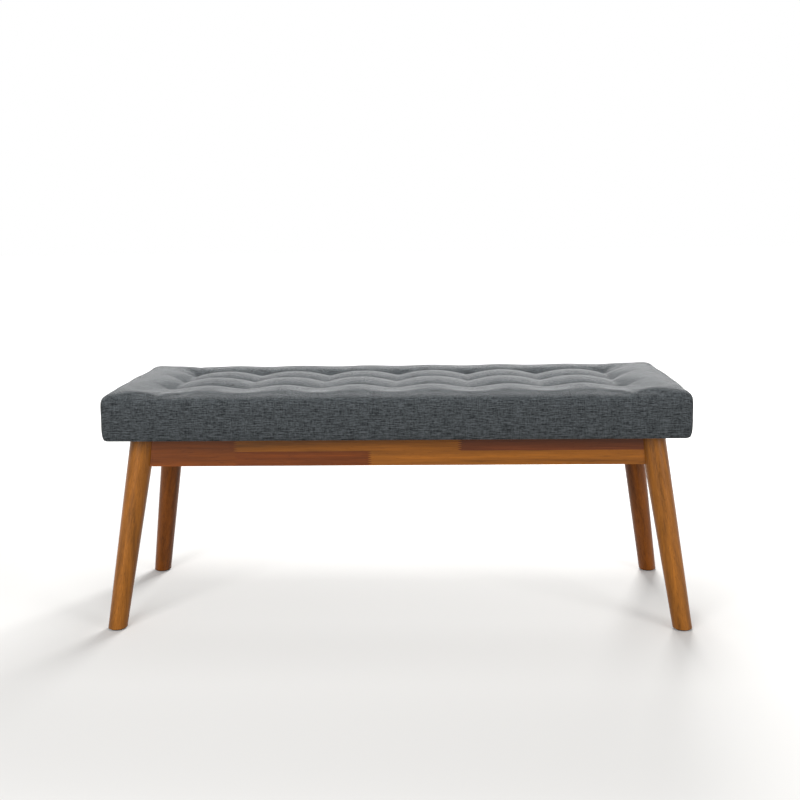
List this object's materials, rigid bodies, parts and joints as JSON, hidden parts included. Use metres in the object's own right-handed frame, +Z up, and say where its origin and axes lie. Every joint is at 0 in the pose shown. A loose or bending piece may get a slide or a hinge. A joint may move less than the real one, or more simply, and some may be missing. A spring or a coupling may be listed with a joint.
{
  "type": "upholstered bench",
  "caption": "Upholstered bench: a blind-tufted fabric seat on a wooden frame with round tapered splayed legs joined by coped aprons.",
  "frame": {"origin": "on the floor, under the middle of the seat", "axes": "+X along the seat towards the right leg as seen from the front, -Y towards the front, +Z up"},
  "size_m": [1.1296, 0.4016, 0.4726],
  "materials": {
    "stained_wood": "stained hardwood under satin lacquer",
    "raw_wood": "sawn, unfinished",
    "plywood": "sanded, unfinished",
    "seat_fabric": "heathered linen-look weave, matt",
    "foam": "open-cell foam",
    "dust_cloth": "black non-woven",
    "twine": "waxed cord",
    "plastic": "moulded nylon",
    "zinc_steel": "zinc plated"
  },
  "bodies": {
    "root": {"leg_front_left": "stained_wood", "leg_front_right": "stained_wood", "leg_rear_left": "stained_wood", "leg_rear_right": "stained_wood", "foot_glide_front_left": "plastic", "foot_glide_front_right": "plastic", "foot_glide_rear_left": "plastic", "foot_glide_rear_right": "plastic", "front_apron": "stained_wood", "rear_apron": "stained_wood", "side_apron_left": "stained_wood", "side_apron_right": "stained_wood", "corner_block_front_left": "raw_wood", "corner_block_front_right": "raw_wood", "corner_block_rear_left": "raw_wood", "corner_block_rear_right": "raw_wood", "centre_brace": "raw_wood", "seat_board": "plywood", "seat_foam": "foam", "seat_cover": "seat_fabric", "dust_cover": "dust_cloth", "apron_dowels": "raw_wood", "hanger_bolts": "zinc_steel", "bolt_washers": "zinc_steel", "bolt_nuts": "zinc_steel", "block_screws": "zinc_steel", "seat_screws": "zinc_steel", "glide_nails": "zinc_steel", "cover_staples": "zinc_steel", "tuft_twines": "twine", "twine_washers": "plastic"}
  },
  "joints": []
}
